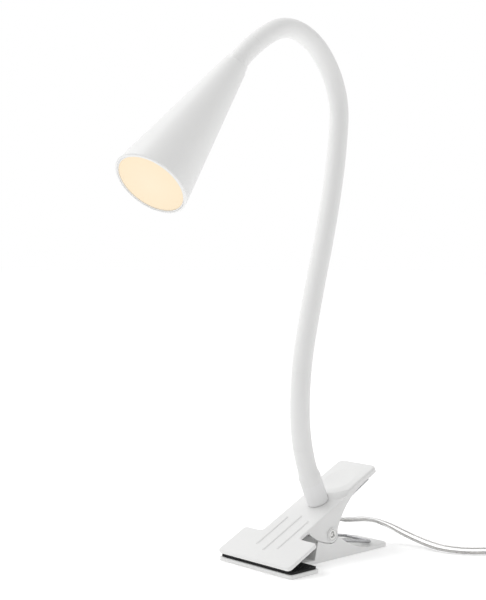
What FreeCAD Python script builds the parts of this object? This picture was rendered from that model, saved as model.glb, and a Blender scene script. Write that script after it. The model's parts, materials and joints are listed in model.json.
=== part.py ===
"""Clip-on reading lamp: sprung clip, bendable neck, cone shade, and a lead with a switch and a driver.

Millimetres. The origin is on the flat underside, straight below the clip's pivot. +X runs from
the jaws to the tail, +Z is up, and Y is along the pivot.
"""

import FreeCAD, Part
import math
import os

V = FreeCAD.Vector
X, Y, Z = V(1, 0, 0), V(0, 1, 0), V(0, 0, 1)

# ---- Clip ----
JAW_WIDTH = 61.0
LOWER_JAW_WIDTH = 62.4
BODY_WIDTH = 31.0
LOWER_JAW_DEPTH = 23.6
LOWER_FRONT = -50.2
TAIL_END = 52.6
LOWER_THICK = 2.4
PIVOT = V(0, 0, 15.5)
ARM_TILT = 25.2
ARM_FRONT = V(-51.6, 0, 6.54)
UPPER_JAW_DEPTH = 25.5
ARM_THICK = 2.0
ARM_LENGTH = 74.0
HANDLE_RISE = 2.5
HANDLE_END = 103.0
HANDLE_RIM = 3.5
HANDLE_CAVITY_START = 72.0
HANDLE_BLOCK_START = 55.0
HANDLE_SKIRT_START = 66.0
HANDLE_FLAT_START = 80.0
# The ramp in front of the handle: where its foot and its brow start, and how round each is.
RAMP_FOOT, RAMP_FOOT_RADIUS = 62.0, 16.5
RAMP_BROW, RAMP_BROW_RADIUS = 67.6, 18.5
CORNER = 2.5
EDGE = 0.7
HANDLE_CORNER = 4.0
CHEEK_WALL = 1.5
BULKHEAD_RISE = 7.4
LUG_WALL = 1.6
SIDE_GAP = 0.2
BOSS_RADIUS = 5.2
LUG_RADIUS = 4.6
SHELL_GAP = 0.4
MOULDED_RING = 4.1
RIB_LENGTHS = ((-8.7, 14.0, 41.0), (0.0, 10.5, 44.4), (8.7, 14.0, 41.0))
RIB_RADIUS = 1.2
RIB_HEIGHT = 0.65
THUMB_CENTRE = 83.5
THUMB_RADIUS = 10.0
THUMB_STRETCH = 1.15
THUMB_DEPTH = 1.05
PAD_INSET = 1.2
LOWER_PAD_THICK = 1.3
UPPER_PAD_THICK = 1.2

# ---- Pivot and spring ----
RIVET_RADIUS = 2.3
RIVET_BORE = 1.6
RIVET_HEAD = 3.2
RIVET_HEAD_THICK = 0.6
RUNNING_GAP = 0.05
BUSH_RADIUS = 3.1
WIRE_RADIUS = 1.0
COIL_RADIUS = 4.2
COIL_PITCH = 2.25
COIL_TURNS = 2
COIL_SIDES = 19
U_BEND = 3.0
SPRING_HALF_WIDTH = 11.0
LOWER_LEG_END = V(41.0, 0, LOWER_THICK + WIRE_RADIUS + 0.5)
UPPER_LEG_S = 94.0

# ---- Neck ----
NECK_RADIUS = 6.0
CORE_RADIUS = 4.5
CORE_BORE = 2.6
CORE_GAP = 0.05
NECK_BASE_S = 61.4
COLLAR_RADIUS = 6.75
COLLAR_LENGTH = 14.0
COLLAR_BEAD = 0.45
NIPPLE_RADIUS = 4.0
NUT_ACROSS = 11.0
NUT_THICK = 2.2
COVER_START = 54.5
COVER_END = 73.5
COVER_HALF = 4.5
COVER_BOTTOM = -8.0
COVER_WALL = 1.1
COVER_SCREW_S = 71.2
COVER_SCREW_TOP = 0.9
SEGMENT = 45.7
# Turn of each neck segment in degrees: towards the tail, and sideways.
NECK_BENDS = (
    (25.0, 0.0),
    (14.5, -1.0),
    (4.0, -1.5),
    (-1.5, -2.0),
    (-6.0, -1.5),
    (-52.0, -1.0),
    (-74.0, 3.5),
    (-21.0, -2.5),
)
# Half of the angle that is cut off each segment end, so that neighbours can bend.
RELIEF = 18.0
CONDUCTOR_RADIUS = 0.7
CONDUCTOR_SPACE = 1.1

# ---- Shade ----
SHADE_LENGTH = 97.9
SHADE_TOP = 7.9
SHADE_MOUTH = 21.8
SHADE_WALL = 1.3
SHADE_FLOOR = 2.5
FERRULE_LENGTH = 4.0
FERRULE_WALL = 0.9
FERRULE_GAP = 0.15
LENS_RADIUS = 19.7
LENS_THICK = 2.0
LENS_RECESS = 0.5
BOARD_RADIUS = 15.0
BOARD_THICK = 1.0
BOARD_DEPTH = 86.0
SINK_LENGTH = 20.0
SINK_PLATE = 3.0
SINK_CORE = 5.0
FIN_COUNT = 12
FIN_THICK = 1.2
CHIP_COUNT = 6
CHIP_CIRCLE = 9.0
CHIP_SIZE = 3.0
CHIP_THICK = 0.7
SCREW_CIRCLE = 12.0
SCREW_RADIUS = 1.0
SCREW_HEAD = 1.9

# ---- Lead ----
CORD_RADIUS = 1.7
FLOOR_GAP = 0.05
GLAND_RADIUS = 2.6
GLAND_LENGTH = 6.0
CORD_FLOOR = CORD_RADIUS + FLOOR_GAP
SWITCH_CENTRE = V(91.2, -115.0, 0)
SWITCH_HEADING = -92.0
SWITCH_LENGTH = 44.0
SWITCH_NOSE = 7.0
NOSE_WALLS = (1.2, 0.7)
SWITCH_WIDTH = 19.0
SWITCH_BASE_HEIGHT = 6.0
SWITCH_HEIGHT = 13.0
SWITCH_CORNER = 5.0
CASE_WALL = 1.6
ROCKER_LENGTH = 16.0
ROCKER_WIDTH = 8.0
ROCKER_GAP = 0.5
ROCKER_TILT = 7.0
ROCKER_PIN = 1.0
ROCKER_AXIS = 10.0
HANK_CENTRE = V(46.0, -141.0, 0)
HANK_RADIUS = 31.0
HANK_WIDTH = 14.0
HANK_HEIGHT = 13.5
DRIVER_OFFSET = V(11.0, 5.0, HANK_HEIGHT)
DRIVER_HEADING = 0.0
DRIVER_LENGTH = 54.0
DRIVER_WIDTH = 34.0
DRIVER_HEIGHT = 26.0
DRIVER_COVER = 4.0
DRIVER_NOSE = 8.0
DRIVER_NOSE_HEIGHT = 6.0
PLUG_PIN_RADIUS = 2.0
PLUG_PIN_LENGTH = 19.0
PLUG_PIN_SPACE = 18.6
PLUG_PIN_SHOULDER = 0.1
PLUG_ROOT_RADIUS = 1.7

# Places worked out from the sizes above.
JAW_HALF = JAW_WIDTH / 2
LOWER_JAW_HALF = LOWER_JAW_WIDTH / 2
BODY_HALF = BODY_WIDTH / 2
CHEEK_IN = BODY_HALF - CHEEK_WALL
LUG_OUT = CHEEK_IN - SIDE_GAP
LUG_IN = LUG_OUT - LUG_WALL
ARM = FreeCAD.Placement(ARM_FRONT, FreeCAD.Rotation(Y, -ARM_TILT))
PIVOT_ON_ARM = ARM.inverse().multVec(PIVOT)


# ---- Shapes ----
def box(x, y, z):
    """A block between two values on each axis."""
    return Part.makeBox(x[1] - x[0], y[1] - y[0], z[1] - z[0], V(x[0], y[0], z[0]))


def rod(start, end, radius):
    return Part.makeCylinder(radius, start.distanceToPoint(end), start, end - start)


def sleeve(start, end, outer, inner):
    return rod(start, end, outer).cut(rod(start, end, inner))


def turned(outline):
    """A solid of revolution about Z from (radius, height) points."""
    points = [V(r, 0, z) for r, z in outline]
    return Part.Face(Part.makePolygon(points + points[:1])).revolve(V(), Z, 360)


def corner_arc(before, point, after, radius):
    """The arc that rounds a corner, as its two ends and its middle."""
    a, b = (before - point).normalize(), (after - point).normalize()
    half = a.getAngle(b) / 2
    reach = radius / math.tan(half)
    inward = (a + b).normalize()
    middle = point + inward * (radius / math.sin(half) - radius)
    return point + a * reach, middle, point + b * reach


def path(points, radii, closed=False):
    """A wire of straight runs, with a tangent arc of the given radius at each point."""
    count = len(points)
    arcs = []
    for i, point in enumerate(points):
        inner = closed or 0 < i < count - 1
        if inner and radii[i] > 0:
            arcs.append(corner_arc(points[i - 1], point, points[(i + 1) % count], radii[i]))
        else:
            arcs.append((point,))
    edges = []
    for i, arc in enumerate(arcs):
        if len(arc) == 3:
            edges.append(Part.Arc(*arc).toShape())
        following = arcs[(i + 1) % count]
        gap = arc[-1].distanceToPoint(following[0])
        if (closed or i < count - 1) and gap > 1e-6:
            edges.append(Part.LineSegment(arc[-1], following[0]).toShape())
    return Part.Wire(edges)


def plate(points, radii, low, high):
    """An outline in X and Y, made solid between two heights."""
    wire = path([V(x, y, low) for x, y in points], radii, closed=True)
    return Part.Face(wire).extrude(V(0, 0, high - low))


def wall_pair(wire, inside, outside):
    """The same wall on both sides of the symmetry plane, from a wire in X and Z."""
    wall = Part.Face(wire).extrude(V(0, outside - inside, 0))
    near = wall.translated(V(0, -outside, 0))
    return near, wall.translated(V(0, inside, 0))


def soften(shape, edges_of, radius):
    """Rounds the edges that a test picks."""
    return shape.makeFillet(radius, [e for e in shape.Edges if edges_of(e)])


def at_height(height):
    """A test for edges that lie wholly at one height."""
    return lambda e: abs(e.BoundBox.ZMin - height) < 1e-4 and abs(e.BoundBox.ZMax - height) < 1e-4


def hexagon(centre, across, low, high, bore):
    """A nut about Z."""
    reach = across / 2 / math.cos(math.radians(30))
    points = [(reach * math.cos(math.radians(60 * k)), reach * math.sin(math.radians(60 * k)))
              for k in range(6)]
    nut = plate(points, [0] * 6, low, high)
    nut = nut.cut(rod(V(0, 0, low), V(0, 0, high), bore))
    return nut.translated(centre)


def moved(shape, placement):
    """A copy of a shape, carried by a placement."""
    out = shape.copy()
    out.Placement = placement.multiply(out.Placement)
    return out


# ---- Clip ----
def cheek_wire(grow=0.0):
    """The upper cheek's outline in the arm's own X and Z, grown outwards by a clearance."""
    p = PIVOT_ON_ARM
    reach = BOSS_RADIUS + grow
    turn = [V(math.cos(math.radians(a)), 0, math.sin(math.radians(a))) for a in (225, 290, 355)]
    low, bottom, rear = [p + t * reach for t in turn]
    front = V(33.6 - grow, 0, -1.0)
    belly = V(39.0 - grow, 0, -10.4 - grow / 2)
    back = V(66.0 + grow, 0, -6.4 - grow)
    tip = V(88.0, 0, -1.2)
    return Part.Wire([
        Part.Arc(front, belly, low).toShape(),
        Part.Arc(low, bottom, rear).toShape(),
        Part.Arc(rear, back, tip).toShape(),
        Part.LineSegment(tip, V(88.0, 0, -0.6)).toShape(),
        Part.LineSegment(V(88.0, 0, -0.6), V(33.6 - grow, 0, -0.6)).toShape(),
        Part.LineSegment(V(33.6 - grow, 0, -0.6), front).toShape(),
    ])


def pivot_holes(radius):
    return rod(PIVOT - Y * JAW_HALF, PIVOT + Y * JAW_HALF, radius)


def lower_jaw_shell():
    jaw_end = LOWER_FRONT + LOWER_JAW_DEPTH
    wide = LOWER_JAW_HALF
    outline = [(LOWER_FRONT, -wide), (jaw_end, -wide), (jaw_end, -BODY_HALF),
               (TAIL_END, -BODY_HALF), (TAIL_END, BODY_HALF), (jaw_end, BODY_HALF),
               (jaw_end, wide), (LOWER_FRONT, wide)]
    radii = [CORNER, CORNER, CORNER, 2 * CORNER, 2 * CORNER, CORNER, CORNER, CORNER]
    base = plate(outline, radii, 0, LOWER_THICK)
    base = soften(base, at_height(LOWER_THICK), EDGE)
    foot, crown = V(-15.4, 0, 0.3), V(-12.0, 0, PIVOT.z - 2.4)
    brow, tail = V(7.0, 0, PIVOT.z - 2.8), V(34.0, 0, 2.3)
    side = Part.Wire([
        Part.LineSegment(foot, crown).toShape(),
        Part.LineSegment(crown, brow).toShape(),
        Part.Arc(brow, V(18.5, 0, PIVOT.z - 9.3), tail).toShape(),
        Part.LineSegment(tail, V(tail.x, 0, foot.z)).toShape(),
        Part.LineSegment(V(tail.x, 0, foot.z), foot).toShape(),
    ])
    room = moved(Part.Face(cheek_wire(SHELL_GAP)).extrude(V(0, JAW_WIDTH, 0)), ARM)
    room.translate(V(0, -JAW_HALF, 0))
    walls = [w.cut(room) for w in wall_pair(side, LUG_OUT - 0.1, BODY_HALF)]
    lug = Part.makePolygon([V(x, 0, z) for x, z in (
        (-7.0, 0.3), (-3.6, PIVOT.z + 2.8), (3.6, PIVOT.z + 2.8), (8.0, PIVOT.z - 4.3),
        (14.0, 5.5), (20.0, 0.3), (-7.0, 0.3))])
    lugs = list(wall_pair(lug, LUG_IN, LUG_OUT))
    crowns = [rod(V(0, side * LUG_IN, PIVOT.z), V(0, side * LUG_OUT, PIVOT.z), LUG_RADIUS)
              for side in (-1, 1)]
    lean = (crown - foot).normalize()
    step = V(CHEEK_WALL, 0, 0)
    top = foot + lean * BULKHEAD_RISE
    across = Part.makePolygon([foot, top, top + step, foot + step, foot])
    bulkhead = Part.Face(across).extrude(V(0, 2 * LUG_OUT, 0))
    bulkhead.translate(V(0, -LUG_OUT, 0))
    shell = base.multiFuse(walls + lugs + crowns + [bulkhead]).removeSplitter()
    return shell.cut(pivot_holes(RIVET_RADIUS))


def lower_jaw_pad():
    half = LOWER_JAW_HALF - PAD_INSET
    x = (LOWER_FRONT + PAD_INSET, LOWER_FRONT + LOWER_JAW_DEPTH - PAD_INSET)
    corners = [(x[0], -half), (x[1], -half), (x[1], half), (x[0], half)]
    return plate(corners, [CORNER - PAD_INSET / 2] * 4, LOWER_THICK, LOWER_THICK + LOWER_PAD_THICK)


def handle_block():
    """The raised handle: a shallow tray upside down, with a ramp at its front."""
    start = HANDLE_BLOCK_START
    outline = [(start, -BODY_HALF), (HANDLE_END, -BODY_HALF), (HANDLE_END, BODY_HALF), (start, BODY_HALF)]
    block = plate(outline, [0, HANDLE_CORNER, HANDLE_CORNER, 0], HANDLE_RISE - HANDLE_RIM, HANDLE_RISE)
    block = soften(block, at_height(HANDLE_RISE), 2 * EDGE)
    low = Part.makeCircle(RAMP_FOOT_RADIUS, V(RAMP_FOOT + RAMP_FOOT_RADIUS, 0, 0), Z)
    high = Part.makeCircle(RAMP_BROW_RADIUS, V(RAMP_BROW + RAMP_BROW_RADIUS, 0, HANDLE_RISE + 0.01), Z)
    ramp = Part.makeLoft([Part.Wire(low), Part.Wire(high)], True, True)
    beyond = box((HANDLE_FLAT_START, HANDLE_END + 1), (-JAW_HALF, JAW_HALF), (-5.0, 5.0))
    under = box((HANDLE_SKIRT_START, HANDLE_END), (-JAW_HALF, JAW_HALF), (-5.0, 0.0))
    block = block.common(ramp.multiFuse([beyond, under]))
    half = BODY_HALF - 1.2 * CHEEK_WALL
    cavity = plate([(HANDLE_CAVITY_START, -half), (HANDLE_END - 2, -half),
                    (HANDLE_END - 2, half), (HANDLE_CAVITY_START, half)],
                   [0, CORNER, CORNER, 0], -5.0, HANDLE_RISE - ARM_THICK)
    return block.cut(cavity)


def thumb_recess():
    """A very flat oval dish, as the piece that is cut away."""
    radius = (THUMB_RADIUS ** 2 + THUMB_DEPTH ** 2) / (2 * THUMB_DEPTH)
    ball = Part.makeSphere(radius, V(0, 0, radius - THUMB_DEPTH))
    slab = box((-14, 14), (-14, 14), (-2, 1))
    stretch = FreeCAD.Matrix()
    stretch.scale(THUMB_STRETCH, 1, 1)
    dish = ball.common(slab).transformGeometry(stretch)
    return dish.translated(V(THUMB_CENTRE, 0, HANDLE_RISE))


def rib(y, start, end):
    """A low rib with round ends, lying along the arm."""
    depth = RIB_RADIUS - RIB_HEIGHT
    a, b = V(start, y, -depth), V(end, y, -depth)
    whole = rod(a, b, RIB_RADIUS).multiFuse([Part.makeSphere(RIB_RADIUS, a),
                                             Part.makeSphere(RIB_RADIUS, b)])
    return whole


def upper_jaw_shell():
    outline = [(0, -JAW_HALF), (UPPER_JAW_DEPTH, -JAW_HALF), (UPPER_JAW_DEPTH, -BODY_HALF),
               (ARM_LENGTH, -BODY_HALF), (ARM_LENGTH, BODY_HALF), (UPPER_JAW_DEPTH, BODY_HALF),
               (UPPER_JAW_DEPTH, JAW_HALF), (0, JAW_HALF)]
    radii = [CORNER, CORNER, CORNER, 0, 0, CORNER, CORNER, CORNER]
    top = soften(plate(outline, radii, -ARM_THICK, 0), at_height(0), EDGE)
    ribs = [rib(*place) for place in RIB_LENGTHS]
    cheeks = list(wall_pair(cheek_wire(), CHEEK_IN, BODY_HALF))
    rings = []
    for side in (-1, 1):
        start = PIVOT_ON_ARM + Y * (side * (BODY_HALF - 0.1))
        rings.append(rod(start, start + Y * (side * (RIVET_HEAD_THICK + 0.2)), MOULDED_RING))
    shell = top.multiFuse([handle_block()] + ribs + cheeks + rings).removeSplitter()
    bore = RIVET_RADIUS + RUNNING_GAP
    shell = shell.cut(rod(PIVOT_ON_ARM - Y * JAW_HALF, PIVOT_ON_ARM + Y * JAW_HALF, bore))
    for side in (-1, 1):
        seat = PIVOT_ON_ARM + Y * (side * BODY_HALF)
        shell = shell.cut(rod(seat, seat + Y * (side * 5), RIVET_HEAD + SIDE_GAP))
    base = V(NECK_BASE_S, 0, 0)
    shell = shell.cut(rod(base, base + Z * 5, COLLAR_RADIUS + 2 * RUNNING_GAP))
    shell = shell.cut(rod(base - Z * 5, base + Z, NIPPLE_RADIUS + RUNNING_GAP))
    shell = shell.cut(thumb_recess())
    screw = V(COVER_SCREW_S, 0, 0)
    shell = shell.cut(rod(screw - Z * 5, screw - Z * COVER_SCREW_TOP, SCREW_RADIUS))
    return moved(shell, ARM)



def upper_jaw_pad():
    half = JAW_HALF - PAD_INSET
    corners = [(PAD_INSET, -half), (UPPER_JAW_DEPTH - PAD_INSET, -half),
               (UPPER_JAW_DEPTH - PAD_INSET, half), (PAD_INSET, half)]
    pad = plate(corners, [CORNER - PAD_INSET / 2] * 4, -ARM_THICK - UPPER_PAD_THICK, -ARM_THICK)
    return moved(pad, ARM)


def pivot_rivet():
    """A hollow rivet with a rolled head outside each cheek."""
    half = BODY_HALF + SIDE_GAP / 2
    end = half + RIVET_HEAD_THICK
    dish = RIVET_BORE + 0.5
    outline = [(RIVET_BORE, -end + 0.6), (dish, -end), (RIVET_HEAD, -end), (RIVET_HEAD, -half),
               (RIVET_RADIUS, -half), (RIVET_RADIUS, half), (RIVET_HEAD, half), (RIVET_HEAD, end),
               (dish, end), (RIVET_BORE, end - 0.6)]
    return moved(turned(outline), FreeCAD.Placement(PIVOT, FreeCAD.Rotation(X, 90)))


def spring_bush():
    half = LUG_IN - SIDE_GAP
    return sleeve(PIVOT - Y * half, PIVOT + Y * half, BUSH_RADIUS, RIVET_RADIUS + RUNNING_GAP)


def tangent_angle(target, side):
    """Where a straight leg to a target leaves the coil, as an angle about the pivot."""
    way = target - PIVOT
    towards = math.degrees(math.atan2(way.z, way.x))
    return towards + side * math.degrees(math.acos(COIL_RADIUS / way.Length))


def spring_half():
    """Corners and bend radii of the spring wire on one side, from the tail's U to the free end."""
    upper_end = ARM.multVec(V(UPPER_LEG_S, 0, HANDLE_RISE - HANDLE_RIM - WIRE_RADIUS - 0.1))
    start = tangent_angle(LOWER_LEG_END, -1)
    finish = tangent_angle(upper_end, 1)
    wound = (start - finish) % 360 + 360 * COIL_TURNS
    step = wound / COIL_SIDES
    reach = COIL_RADIUS / math.cos(math.radians(step / 2))
    corners = [LOWER_LEG_END - Y * SPRING_HALF_WIDTH]
    for k in range(COIL_SIDES):
        angle = math.radians(start - (k + 0.5) * step)
        along = -SPRING_HALF_WIDTH + COIL_PITCH * (k + 0.5) * step / 360
        corners.append(PIVOT + V(reach * math.cos(angle), along, reach * math.sin(angle)))
    end = V(upper_end.x, -BODY_HALF + 2 * WIRE_RADIUS + 0.1, upper_end.z)
    bends = [0.96 * COIL_RADIUS] * (COIL_SIDES - 1) + [0.9 * COIL_RADIUS]
    return corners + [end], [U_BEND] + bends + [0]


def torsion_spring():
    """Two coils: the outer ends run into one U in the tail, the inner ends press the handle's rim up."""
    near, bends = spring_half()
    far = [V(p.x, -p.y, p.z) for p in near]
    wire = path(far[::-1] + near, bends[::-1] + bends)
    section = Part.Wire(Part.makeCircle(WIRE_RADIUS, far[-1], far[-2] - far[-1]))
    return wire.makePipeShell([section], True, True)


# ---- Neck base ----
def neck_collar():
    outline = [(NIPPLE_RADIUS + RUNNING_GAP, 0), (COLLAR_RADIUS - 0.3, 0), (COLLAR_RADIUS, 0.4),
               (COLLAR_RADIUS, COLLAR_LENGTH - 2.4), (COLLAR_RADIUS + COLLAR_BEAD, COLLAR_LENGTH - 1.8),
               (COLLAR_RADIUS + COLLAR_BEAD, COLLAR_LENGTH - 0.8), (COLLAR_RADIUS, COLLAR_LENGTH),
               (NIPPLE_RADIUS + RUNNING_GAP, COLLAR_LENGTH)]
    return moved(turned(outline).translated(V(NECK_BASE_S, 0, 0)), ARM)


def base_nipple():
    start = V(NECK_BASE_S, 0, -ARM_THICK - NUT_THICK - 0.3)
    end = V(NECK_BASE_S, 0, COLLAR_LENGTH)
    return moved(sleeve(start, end, NIPPLE_RADIUS, CORE_BORE), ARM)


def collar_nut():
    low = -ARM_THICK - NUT_THICK
    return moved(hexagon(V(NECK_BASE_S, 0, 0), NUT_ACROSS, low, -ARM_THICK, NIPPLE_RADIUS), ARM)


def wiring_cover():
    """A narrow cover over the wire joints, held by one screw at its rear."""
    top = -ARM_THICK - NUT_THICK - 0.5
    y = (-COVER_HALF, COVER_HALF)
    wall = COVER_WALL
    shell = box((COVER_START, COVER_END), y, (COVER_BOTTOM, top))
    shell = shell.fuse(box((68.8, COVER_END), y, (COVER_BOTTOM, -ARM_THICK)))
    inside = box((COVER_START + wall, 67.5), (y[0] + wall, y[1] - wall), (COVER_BOTTOM + wall, 0))
    screw = V(COVER_SCREW_S, 0, 0)
    shell = shell.cut(inside).cut(rod(screw - Z * 9, screw, SCREW_RADIUS))
    shell = shell.cut(rod(screw - Z * 9, screw + Z * (COVER_BOTTOM + 1.4), SCREW_HEAD + 0.1))
    return moved(shell, ARM).cut(rod(GLAND_START - GLAND_WAY * 2, GLAND_END, GLAND_RADIUS - 0.6))


def cover_screw():
    head = COVER_BOTTOM + 1.4
    place = V(COVER_SCREW_S, 0, 0)
    shape = rod(place + Z * (COVER_BOTTOM + 0.1), place + Z * head, SCREW_HEAD)
    shape = shape.fuse(rod(place + Z * head, place - Z * (COVER_SCREW_TOP + 0.1), SCREW_RADIUS))
    return moved(shape, ARM)


# The gland points down and to the rear, out of the cover's underside.
GLAND_WAY = V(0.83, 0, -0.56).normalize()
GLAND_END = V(12.2, 0, PIVOT.z + 8.1)
GLAND_START = GLAND_END - GLAND_WAY * GLAND_LENGTH


def cord_gland():
    body = Part.makeCone(GLAND_RADIUS, GLAND_RADIUS - 0.4, GLAND_LENGTH, GLAND_START, GLAND_WAY)
    body = body.cut(rod(GLAND_START, GLAND_END, CORD_RADIUS * 0.6))
    y = (-COVER_HALF, COVER_HALF)
    return body.cut(moved(box((COVER_START, COVER_END), y, (COVER_BOTTOM, 0)), ARM))


# ---- Neck ----
def turn(vector, axis, angle):
    return FreeCAD.Rotation(axis, math.degrees(angle)).multVec(vector)


def neck_frames():
    """One frame at each end of each segment: (point, along, side)."""
    point = ARM.multVec(V(NECK_BASE_S, 0, COLLAR_LENGTH))
    along, side = ARM.Rotation.multVec(Z), Y
    frames = [(point, along, side)]
    for back, sideways in NECK_BENDS:
        axis = side * back + side.cross(along) * sideways
        angle = math.radians(axis.Length)
        axis.normalize()
        centre = point + axis.cross(along) * (SEGMENT / angle)
        point = centre + turn(point - centre, axis, angle)
        along, side = turn(along, axis, angle), turn(side, axis, angle)
        frames.append((point, along, side))
    return frames


def bend_of(frames, index):
    """Centre, axis and angle of one segment's arc."""
    point, along, side = frames[index]
    back, sideways = NECK_BENDS[index]
    axis = side * back + side.cross(along) * sideways
    angle = axis.Length
    axis.normalize()
    return point + axis.cross(along) * (SEGMENT / math.radians(angle)), axis, angle


def swept(frames, index, outer, inner):
    """A round tube along one segment's arc."""
    point, along, _ = frames[index]
    centre, axis, angle = bend_of(frames, index)
    ring = Part.Face(Part.Wire(Part.makeCircle(outer, point, along)))
    shape = ring.revolve(centre, axis, angle)
    if inner > 0:
        hole = Part.Face(Part.Wire(Part.makeCircle(inner, point, along)))
        shape = shape.cut(hole.revolve(centre, axis, angle))
    return shape


def relief(point, inward):
    """What is cut from a segment's end: all but a cone whose tip is on the hinge."""
    reach = NECK_RADIUS + 2
    depth = reach * math.tan(math.radians(RELIEF))
    tool = turned([(0, 0), (reach, -1), (reach, depth)])
    return moved(tool, FreeCAD.Placement(point, FreeCAD.Rotation(Z, inward)))


def segment_piece(frames, index, outer, inner):
    shape = swept(frames, index, outer, inner)
    if index > 0:
        shape = shape.cut(relief(frames[index][0], frames[index][1]))
    if index < len(NECK_BENDS) - 1:
        shape = shape.cut(relief(frames[index + 1][0], -frames[index + 1][1]))
    return shape


def conductors(frames, index):
    """The two wires inside one segment; the last pair runs on to the light board."""
    point, along, side = frames[index]
    centre, axis, angle = bend_of(frames, index)
    wires = []
    for way in (-1, 1):
        start = point + side * (way * CONDUCTOR_SPACE)
        face = Part.Face(Part.Wire(Part.makeCircle(CONDUCTOR_RADIUS, start, along)))
        wires.append(face.revolve(centre, axis, angle))
    if index > 0:
        wires = [w.cut(relief(point, along)) for w in wires]
    if index < len(NECK_BENDS) - 1:
        wires = [w.cut(relief(frames[index + 1][0], -frames[index + 1][1])) for w in wires]
    else:
        end, out, across = frames[-1]
        reach = out * (BOARD_DEPTH - SINK_LENGTH / 2)
        for i, way in enumerate((-1, 1)):
            at = end + across * (way * CONDUCTOR_SPACE)
            wires[i] = wires[i].fuse(rod(at, at + reach, CONDUCTOR_RADIUS)).removeSplitter()
    return Part.makeCompound(wires)


def neck_parts():
    frames = neck_frames()
    parts = {}
    for i in range(len(NECK_BENDS)):
        name = i + 1
        parts[f"neck_sleeve_{name}"] = segment_piece(frames, i, NECK_RADIUS, CORE_RADIUS + CORE_GAP)
        parts[f"neck_core_{name}"] = segment_piece(frames, i, CORE_RADIUS, CORE_BORE)
        parts[f"neck_wires_{name}"] = conductors(frames, i)
    return parts


# ---- Shade, in its own frame: Z runs from the neck to the mouth ----
def shade_radius(depth):
    return SHADE_TOP + (SHADE_MOUTH - SHADE_TOP) * depth / SHADE_LENGTH


def inner_radius(depth):
    return shade_radius(depth) - SHADE_WALL


def shade():
    outline = [(NIPPLE_RADIUS + RUNNING_GAP, 0), (SHADE_TOP - 0.6, 0), (SHADE_TOP, 0.8),
               (SHADE_MOUTH, SHADE_LENGTH - 0.5), (SHADE_MOUTH - 0.5, SHADE_LENGTH),
               (inner_radius(SHADE_LENGTH), SHADE_LENGTH), (inner_radius(SHADE_FLOOR), SHADE_FLOOR),
               (NIPPLE_RADIUS + RUNNING_GAP, SHADE_FLOOR)]
    return turned(outline)


def shade_ferrule():
    inside = NECK_RADIUS + FERRULE_GAP
    outside = inside + FERRULE_WALL
    return turned([(inside, -FERRULE_LENGTH), (outside - 0.4, -FERRULE_LENGTH),
                   (outside, -FERRULE_LENGTH + 0.5), (outside, 0), (inside, 0)])


def end_nipple():
    return sleeve(V(), V(0, 0, SHADE_FLOOR + 6), NIPPLE_RADIUS, CORE_BORE)


def ferrule_nut():
    return hexagon(V(), NUT_ACROSS, SHADE_FLOOR, SHADE_FLOOR + 4, NIPPLE_RADIUS)


def screw_places():
    return [V(SCREW_CIRCLE * way, 0, 0) for way in (-1, 1)]


def heat_sink():
    top = BOARD_DEPTH - BOARD_THICK
    low = top - SINK_LENGTH
    plate_low = top - SINK_PLATE
    rim = inner_radius(plate_low) - 0.2
    hub = rod(V(0, 0, low), V(0, 0, top), SINK_CORE)
    disc = rod(V(0, 0, plate_low), V(0, 0, top), rim)
    cone = turned([(0, low), (inner_radius(low) - 0.3, low), (rim, plate_low), (0, plate_low)])
    fins = []
    for k in range(FIN_COUNT):
        fin = box((SINK_CORE - 1, rim), (-FIN_THICK / 2, FIN_THICK / 2), (low, plate_low + 0.5))
        fins.append(fin.rotated(V(), Z, 360 * (k + 0.5) / FIN_COUNT).common(cone))
    sink = hub.multiFuse([disc] + fins).removeSplitter()
    sink = sink.cut(rod(V(0, 0, low), V(0, 0, top), CORE_BORE))
    for place in screw_places():
        sink = sink.cut(rod(place + Z * plate_low, place + Z * top, SCREW_RADIUS))
    return sink


def led_board():
    low, high = BOARD_DEPTH - BOARD_THICK, BOARD_DEPTH
    board = rod(V(0, 0, low), V(0, 0, high), BOARD_RADIUS)
    board = board.cut(rod(V(0, 0, low), V(0, 0, high), CORE_BORE))
    for place in screw_places():
        board = board.cut(rod(place + Z * low, place + Z * high, SCREW_RADIUS))
    return board


def led_chips():
    half = CHIP_SIZE / 2
    chip = box((CHIP_CIRCLE - half, CHIP_CIRCLE + half), (-half, half),
               (BOARD_DEPTH, BOARD_DEPTH + CHIP_THICK))
    chips = [chip.rotated(V(), Z, 360 * (k + 0.5) / CHIP_COUNT) for k in range(CHIP_COUNT)]
    return Part.makeCompound(chips)


def board_screws():
    screws = []
    for place in screw_places():
        low = place + Z * (BOARD_DEPTH - BOARD_THICK - SINK_PLATE)
        top = place + Z * BOARD_DEPTH
        screws.append(rod(low, top, SCREW_RADIUS).fuse(rod(top, top + Z * 1.2, SCREW_HEAD)))
    return Part.makeCompound(screws)


def lens_ring():
    """The ring that the diffuser sits in; it stands on the heat sink's plate."""
    low, top = BOARD_DEPTH - BOARD_THICK, SHADE_LENGTH - 0.2
    seat = SHADE_LENGTH - LENS_RECESS - LENS_THICK
    outside = inner_radius(low) - 0.1
    outside_top = inner_radius(top) - 0.1
    return turned([(outside - 1.0, low), (outside, low), (outside_top, top), (LENS_RADIUS + 0.05, top),
                   (LENS_RADIUS + 0.05, seat), (LENS_RADIUS - 1.4, seat)])


def reflector():
    low = BOARD_DEPTH + 0.1
    top = SHADE_LENGTH - LENS_RECESS - LENS_THICK - 0.1
    foot, mouth = SCREW_CIRCLE + SCREW_HEAD + 0.3, LENS_RADIUS - 2.0
    return turned([(foot, low), (foot + 0.8, low), (mouth, top), (mouth - 0.8, top)])


def diffuser():
    top = SHADE_LENGTH - LENS_RECESS
    low = top - LENS_THICK
    return turned([(0, low), (LENS_RADIUS, low), (LENS_RADIUS, top - 0.4), (LENS_RADIUS - 0.4, top), (0, top)])


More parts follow.
